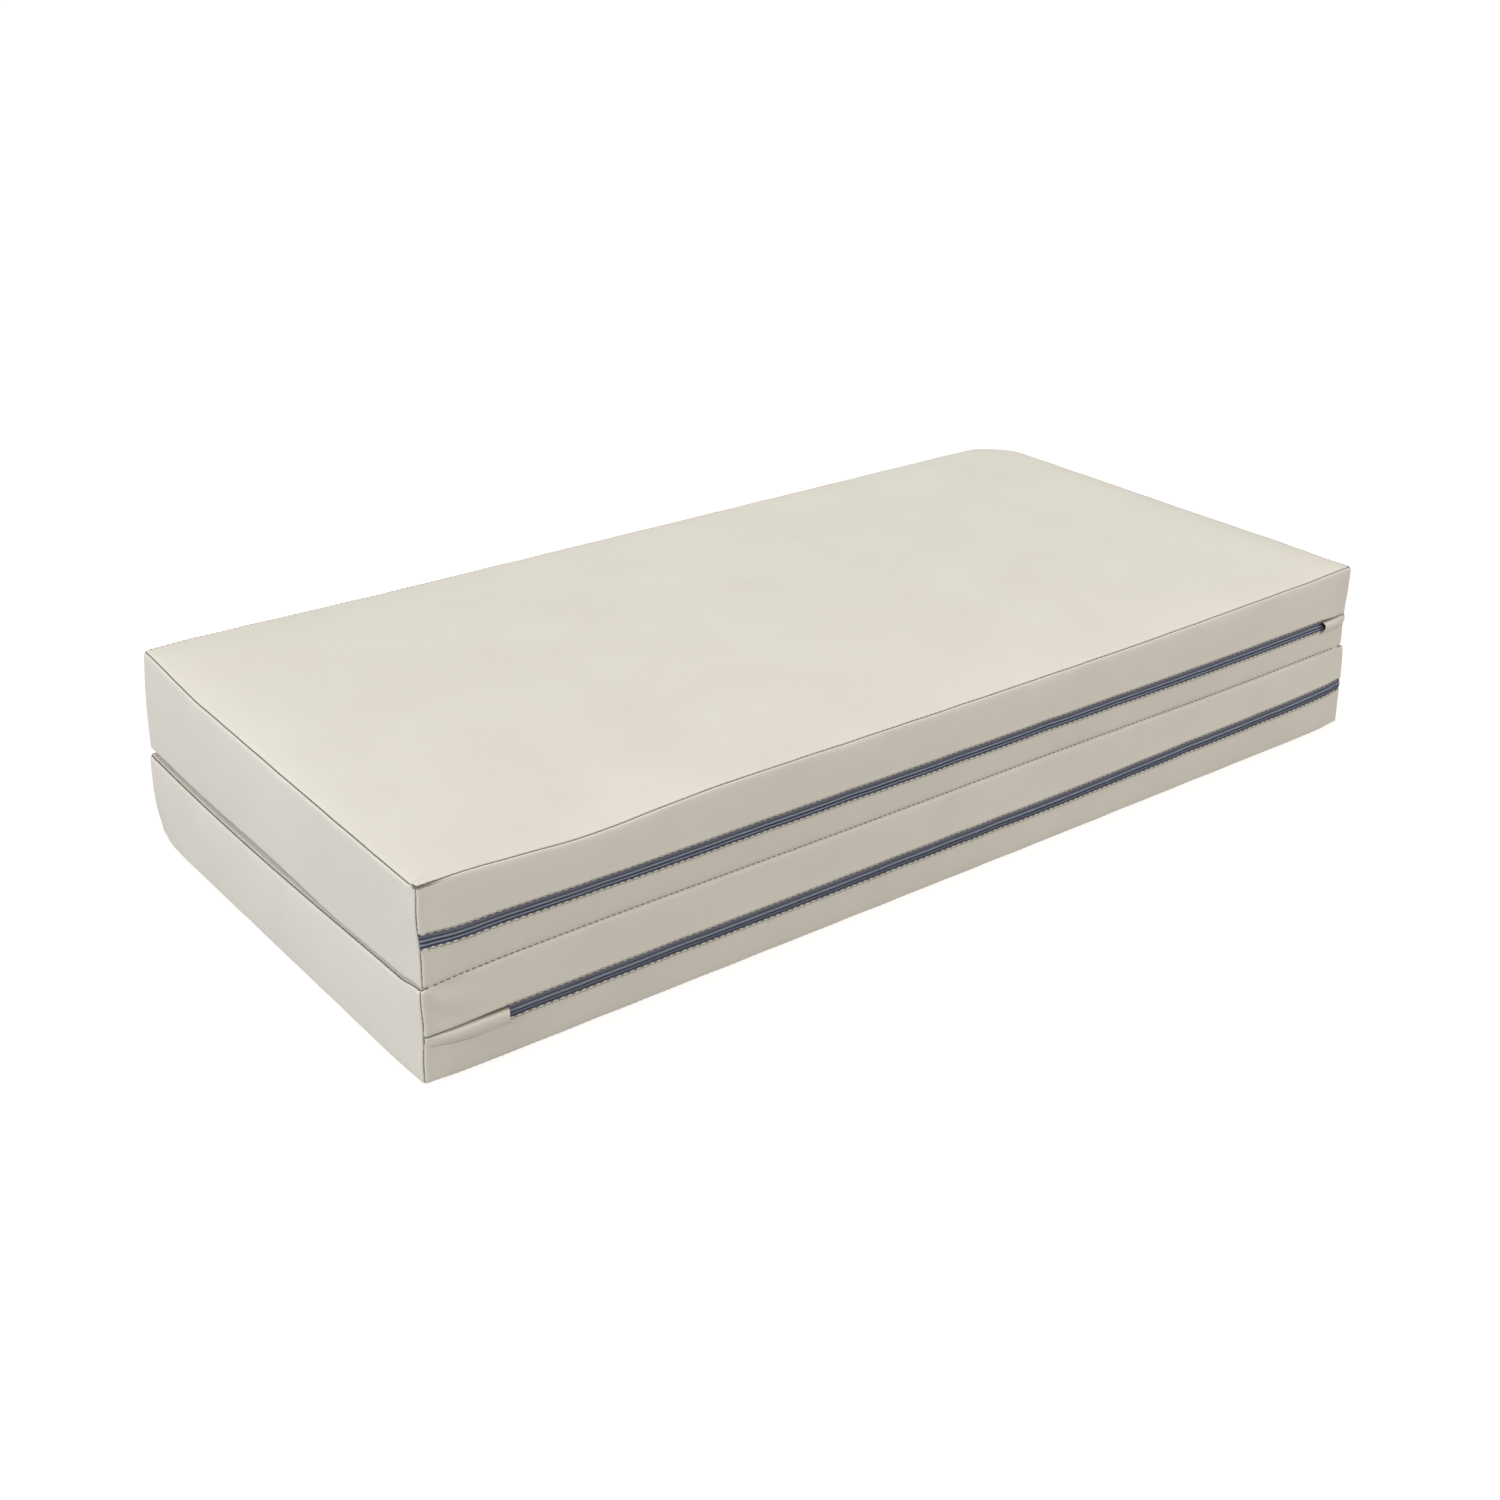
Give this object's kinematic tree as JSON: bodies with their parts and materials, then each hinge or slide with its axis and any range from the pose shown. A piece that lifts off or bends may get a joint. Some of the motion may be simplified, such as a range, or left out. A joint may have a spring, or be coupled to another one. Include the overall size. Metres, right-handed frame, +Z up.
{
  "type": "bi-fold foam mattress",
  "caption": "Folding foam mattress stored folded: boxed foam sections in zipped coated-fabric covers, joined by a sewn hinge along the front.",
  "frame": {"origin": "on the floor, under the middle of the folded mattress", "axes": "+X along the length, -Y out of the side with the zips and the hinge, +Z up"},
  "size_m": [1.2, 0.6008, 0.2104],
  "materials": {
    "cover": "satin",
    "foam": "matte",
    "zip_tape": "matte",
    "zip_coil": "satin",
    "zip_metal": "satin",
    "thread": "matte"
  },
  "bodies": {
    "lower_section": {"lower_foam_core": "foam", "lower_outer_panel": "cover", "lower_inner_panel": "cover", "lower_left_end_band": "cover", "lower_right_end_band": "cover", "lower_rear_band": "cover", "lower_front_outer_band": "cover", "lower_front_inner_band": "cover", "lower_zip_outer_tape": "zip_tape", "lower_zip_inner_tape": "zip_tape", "lower_zip_outer_coil": "zip_coil", "lower_zip_inner_coil": "zip_coil", "lower_zip_garage": "cover", "lower_seam_thread": "thread", "hinge_strip": "cover", "hinge_stitches": "thread"},
    "upper_section": {"upper_foam_core": "foam", "upper_outer_panel": "cover", "upper_inner_panel": "cover", "upper_left_end_band": "cover", "upper_right_end_band": "cover", "upper_rear_band": "cover", "upper_front_outer_band": "cover", "upper_front_inner_band": "cover", "upper_zip_outer_tape": "zip_tape", "upper_zip_inner_tape": "zip_tape", "upper_zip_outer_coil": "zip_coil", "upper_zip_inner_coil": "zip_coil", "upper_zip_garage": "cover", "upper_seam_thread": "thread"},
    "lower_slider": {"lower_zip_slider": "zip_metal"},
    "lower_pull": {"lower_zip_pull": "zip_metal"},
    "upper_slider": {"upper_zip_slider": "zip_metal"},
    "upper_pull": {"upper_zip_pull": "zip_metal"}
  },
  "joints": [
    {"name": "fold_hinge", "type": "hinge", "parent": "lower_section", "child": "upper_section", "pos_m": [0, -0.298, 0.1], "axis": [1, 0, 0], "range_deg": [0, 179], "deforming": ["hinge_strip"]},
    {"name": "lower_zip_slide", "type": "slide", "parent": "lower_section", "child": "lower_slider", "axis": [1, 0, 0], "range_m": [0, 1.093]},
    {"name": "lower_pull_flip", "type": "hinge", "parent": "lower_slider", "child": "lower_pull", "pos_m": [-0.533, -0.29775, 0.045], "axis": [0, 0, 1], "range_deg": [0, 180], "deforming": ["lower_zip_garage"]},
    {"name": "upper_zip_slide", "type": "slide", "parent": "upper_section", "child": "upper_slider", "axis": [-1, 0, 0], "range_m": [0, 1.118]},
    {"name": "upper_pull_flip", "type": "hinge", "parent": "upper_slider", "child": "upper_pull", "pos_m": [0.558, -0.29845, 0.14], "axis": [0, 0.0175, -0.9998], "range_deg": [0, 180], "deforming": ["upper_zip_garage"]}
  ]
}
